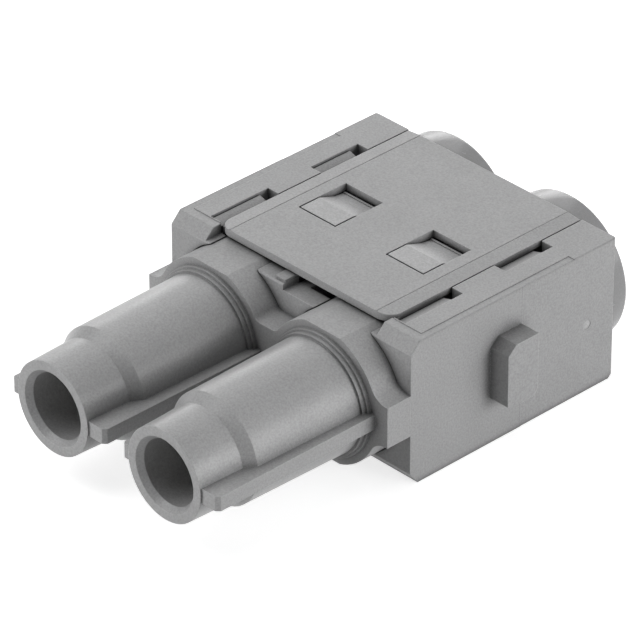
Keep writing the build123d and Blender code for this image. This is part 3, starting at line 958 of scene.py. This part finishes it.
@dataclass
class ContactBand:
    """Spring band in the socket: two split rings joined by bowed leaves.

    Args:
        side: the pole.
        material: its finish.
        leaves: number of leaves.
        leaf_width: width of a leaf, in metres.
        thickness: thickness of the strip.
        end_length: length of each end ring.
        ring_radius: radius of the middle of the end rings' wall.
        leaf_radius: radius of the middle of a leaf at its ends.
        waist_radius: the same at its waist, where it grips the pin.
        bow: where a leaf starts to bow and where its waist starts, as shares of its length.
        split: gap in the end rings.
        leaf_steps: straight pieces along a leaf.
        ring_steps: points around a ring.
    """

    side: Side
    material: bpy.types.Material
    leaves: int = 12
    leaf_width: float = 1.4 * MM
    thickness: float = 0.25 * MM
    end_length: float = 0.8 * MM
    ring_radius: float = 3.46 * MM
    leaf_radius: float = 3.40 * MM
    waist_radius: float = 3.145 * MM
    bow: tuple[float, float] = (0.07, 0.4)
    split: float = 0.4 * MM
    leaf_steps: int = 16
    ring_steps: int = 72

    def leaf(self, tree: ShapeNodes, length: Socket, thickness: Socket) -> Socket:
        """One leaf above the axis, bowed towards it.

        Args:
            tree: the band's tree.
            length: length of the band.
            thickness: thickness of the strip.

        Returns:
            The leaf's geometry socket.
        """
        radius = tree.size("Leaf radius", self.leaf_radius)
        depth = tree.math("SUBTRACT", radius, tree.size("Waist radius", self.waist_radius))
        half = tree.math("MULTIPLY", length, 0.5)
        start = tree.vector(y=tree.math("MULTIPLY", half, -1.0), z=radius)
        end = tree.vector(y=half, z=radius)
        line = tree.add("GeometryNodeCurvePrimitiveLine", {"Start": start, "End": end}).outputs["Curve"]
        path = tree.resampled(line, self.leaf_steps + 1)
        share = tree.add("GeometryNodeSplineParameter").outputs["Factor"]
        near = tree.math("MINIMUM", share, tree.math("SUBTRACT", 1.0, share))
        drop = tree.ramp(near, *self.bow, 0.0, depth, interpolation_type="SMOOTHSTEP")
        inputs = {"Geometry": path, "Offset": tree.vector(z=tree.math("MULTIPLY", drop, -1.0))}
        bowed = tree.add("GeometryNodeSetPosition", inputs).outputs["Geometry"]
        return tree.sweep(bowed, tree.strip(tree.size("Leaf width", self.leaf_width), thickness))

    def leaf_ring(self, tree: ShapeNodes, leaf: Socket) -> Socket:
        """Every leaf, turned around the axis, with the split between two of them.

        Args:
            tree: the band's tree.
            leaf: one leaf.

        Returns:
            The instances' geometry socket.
        """
        count = tree.size("Leaves", self.leaves)
        points = tree.add("GeometryNodePoints", {"Count": count}).outputs[0]
        index = tree.add("GeometryNodeInputIndex").outputs[0]
        share = tree.math("DIVIDE", tree.math("ADD", index, 0.5), count)
        turn = tree.vector(y=tree.math("MULTIPLY", share, 2 * math.pi))
        inputs = {"Points": points, "Instance": leaf, "Rotation": turn}
        return tree.add("GeometryNodeInstanceOnPoints", inputs).outputs["Instances"]

    def end_ring(self, tree: ShapeNodes, thickness: Socket) -> Socket:
        """One split ring in the middle of the band.

        Args:
            tree: the band's tree.
            thickness: thickness of the strip.

        Returns:
            The ring's geometry socket.
        """
        radius = tree.size("Ring radius", self.ring_radius)
        gap = tree.math("DIVIDE", tree.size("Split", self.split), radius)
        inputs = {
            "Resolution": self.ring_steps,
            "Radius": radius,
            "Start Angle": tree.math("MULTIPLY", gap, 0.5),
            "Sweep Angle": tree.math("SUBTRACT", 2 * math.pi, gap),
        }
        arc = tree.add("GeometryNodeCurveArc", inputs).outputs["Curve"]
        strip = tree.strip(thickness, tree.size("End length", self.end_length))
        return tree.transformed(tree.sweep(arc, strip), Rotation=(math.pi / 2, 0.0, 0.0))

    def build(self) -> list[bpy.types.Object]:
        """Makes the band.

        Returns:
            The piece.
        """
        node = self.side.node("contact_band")
        low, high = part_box(node)
        centre = pole_centre(self.side)
        middle = Vector((centre.x, (low[1] + high[1]) / 2, centre.z))
        tree = ShapeNodes(node + " leaves")
        length = tree.size("Length", high[1] - low[1])
        thickness = tree.size("Thickness", self.thickness)
        leaves = self.leaf_ring(tree, self.leaf(tree, length, thickness))
        ring = self.end_ring(tree, thickness)
        reach = tree.math("MULTIPLY", tree.math("SUBTRACT", length, self.end_length), 0.5)
        places = [tree.vector(y=tree.math("MULTIPLY", reach, sign)) for sign in (-1.0, 1.0)]
        ends = [tree.transformed(ring, Translation=place) for place in places]
        tree.finish(tree.join(leaves, *ends), self.material)
        return [stand_in(tree.piece(node + "_leaves", middle), node)]


@dataclass
class Pole:
    """One contact with its band, ring, clip and rear sleeve.

    Args:
        side: the pole.
        finishes: the module's finishes.
    """

    side: Side
    finishes: Finishes

    def build(self) -> list[bpy.types.Object]:
        """Dresses and makes what one pole holds.

        Returns:
            The pieces.
        """
        looks = {
            "socket": self.finishes.silver,
            "mouth_ring": self.finishes.silver,
            "retaining_clip": self.finishes.steel,
        }
        pieces = [dress(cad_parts[self.side.node(stem)], look) for stem, look in looks.items()]
        pieces += ContactBand(self.side, self.finishes.spring).build()
        return pieces + RearSleeve(self.side, self.finishes.sleeve).build()


@dataclass(frozen=True)
class Lamp:
    """One soft box.

    Args:
        name: its name.
        azimuth: where it stands around the module, in degrees from the front towards +X.
        elevation: how high it stands, in degrees.
        power: in watts.
        width: width of its face, in metres.
        height: height of its face.
        distance: how far away it stands.
    """

    name: str
    azimuth: float
    elevation: float
    power: float
    width: float = 0.26
    height: float = 0.26
    distance: float = 0.42

    def build(self, target: Vector) -> None:
        """Makes the lamp and aims it.

        Args:
            target: the point that it faces.
        """
        data = bpy.data.lights.new(self.name, "AREA")
        data.shape = "RECTANGLE"
        data.size = self.width
        data.size_y = self.height
        data.energy = self.power
        lamp = bpy.data.objects.new(self.name, data)
        lamp.location = target + towards(self.azimuth, self.elevation) * self.distance
        lamp.rotation_mode = "QUATERNION"
        lamp.rotation_quaternion = (target - lamp.location).to_track_quat("-Z", "Y")
        lamp.visible_camera = False
        bpy.context.scene.collection.objects.link(lamp)


def towards(azimuth: float, elevation: float) -> Vector:
    """Direction from the module to a place around it.

    Args:
        azimuth: degrees from the front towards +X.
        elevation: degrees above the floor.

    Returns:
        The unit vector.
    """
    turn = math.radians(azimuth)
    rise = math.radians(elevation)
    return Vector((math.sin(turn) * math.cos(rise), -math.cos(turn) * math.cos(rise), math.sin(rise)))


def background_rays(net: Nodes) -> Socket:
    """1 for rays that show the background: to the camera, off gloss and through glass; 0 for the rest.

    Args:
        net: the tree of the world or of the floor's material.

    Returns:
        The mask's socket.
    """
    path = net.add("ShaderNodeLightPath")
    seen = path.outputs["Is Camera Ray"]
    for kind in ("Is Glossy Ray", "Is Transmission Ray"):
        seen = net.math("MAXIMUM", seen, path.outputs[kind])
    return seen


@dataclass
class Studio:
    """Floor, lamps, world and camera.

    Args:
        target: the point that the camera and the lamps face, in metres.
        azimuth: where the camera stands, in degrees from the front towards +X.
        elevation: how high it stands, in degrees.
        distance: how far away it stands.
        focal_px: its focal length, in pixels of the photograph.
        frame_px: width of the photograph, in pixels.
        sensor: width of its sensor, in millimetres.
        clip: nearest and farthest distance that it sees.
        ambient: strength of the world's light.
        paper: tone of the floor.
        glow: what the floor adds to its tone for rays that show the background.
        floor_size: side of the floor.
        lamps: the lamps.
    """

    target: Vector = field(default_factory=lambda: Vector((-1.467, 1.881, 7.3)) * MM)
    azimuth: float = 46.157
    elevation: float = 32.375
    distance: float = 0.511733
    focal_px: float = 5765.868
    frame_px: float = 640.0
    sensor: float = 36.0
    clip: tuple[float, float] = (0.01, 10.0)
    ambient: float = 0.03
    paper: float = 0.82
    glow: float = 0.72
    floor_size: float = 3.0
    lamps: tuple[Lamp, ...] = (
        Lamp("right rear box", 138.0, 19.0, 0.28, width=0.18, height=0.18),
        Lamp("right box", 108.0, 17.0, 0.47, width=0.18, height=0.14),
        Lamp("overhead box", 0.0, 88.0, 0.29),
        Lamp("high front left box", 310.0, 50.0, 0.52),
        Lamp("high rear left box", 230.0, 50.0, 0.28),
        Lamp("low right strip", 98.0, 6.0, 0.38, height=0.07),
        Lamp("rear left box", 225.0, 14.0, 0.38, height=0.18),
        Lamp("low front left strip", 332.0, 6.0, 0.66, height=0.07),
    )

    def build(self) -> None:
        """Builds the studio."""
        for lamp in self.lamps:
            lamp.build(self.target)
        self.build_world()
        self.build_floor()
        self.build_camera()

    def build_world(self) -> None:
        """Faint light from everywhere, seen as white by the camera, off gloss and through glass."""
        world = bpy.data.worlds.new("studio")
        bpy.context.scene.world = world
        world.use_nodes = True
        net = Nodes(world.node_tree)
        net.tree.nodes.clear()
        strength = net.ramp(background_rays(net), 0.0, 1.0, self.ambient, 1.0)
        white = {"Color": (1.0, 1.0, 1.0, 1.0), "Strength": strength}
        net.add("ShaderNodeOutputWorld", {"Surface": net.add("ShaderNodeBackground", white).outputs[0]})

    def build_floor(self) -> None:
        """Pale floor that keeps the module's shadow."""
        mesh = bpy.data.meshes.new("floor")
        half = self.floor_size / 2
        corners = [(-half, -half, 0.0), (half, -half, 0.0), (half, half, 0.0), (-half, half, 0.0)]
        mesh.from_pydata(corners, [], [(0, 1, 2, 3)])
        floor = bpy.data.objects.new("floor", mesh)
        bpy.context.scene.collection.objects.link(floor)
        net = FinishNodes("floor paper")
        tone = (self.paper, self.paper, self.paper, 1.0)
        paper = net.add("ShaderNodeBsdfDiffuse", {"Color": tone}).outputs[0]
        white = {"Color": (1.0, 1.0, 1.0, 1.0), "Strength": self.glow}
        glow = net.add("ShaderNodeEmission", white).outputs[0]
        both = net.add("ShaderNodeAddShader", {0: paper, 1: glow}).outputs[0]
        mix = net.add("ShaderNodeMixShader", {0: background_rays(net), 1: paper, 2: both})
        net.add("ShaderNodeOutputMaterial", {"Surface": mix.outputs[0]})
        mesh.materials.append(net.material)

    def build_camera(self) -> None:
        """Camera at the photograph's angle."""
        data = bpy.data.cameras.new("camera")
        data.sensor_width = self.sensor
        data.lens = self.focal_px / self.frame_px * self.sensor
        data.clip_start, data.clip_end = self.clip
        camera = bpy.data.objects.new("camera", data)
        back = towards(self.azimuth, self.elevation)
        camera.location = self.target + back * self.distance
        camera.rotation_mode = "QUATERNION"
        camera.rotation_quaternion = (-back).to_track_quat("-Z", "Y")
        bpy.context.scene.collection.objects.link(camera)
        bpy.context.scene.camera = camera


def main() -> None:
    """Builds every piece in order, then the studio."""
    logging.basicConfig(level=logging.INFO, format="%(name)s: %(message)s")
    finishes = Finishes()
    parts = [Housing(finishes), *(Pole(side, finishes) for side in Side)]
    for part in parts:
        for piece in part.build():
            LOG.info("%s: %d faces", piece.name, len(piece.data.polygons))
    Studio().build()
    bpy.context.scene.view_settings.view_transform = "Standard"


if __name__ == "__main__":
    main()
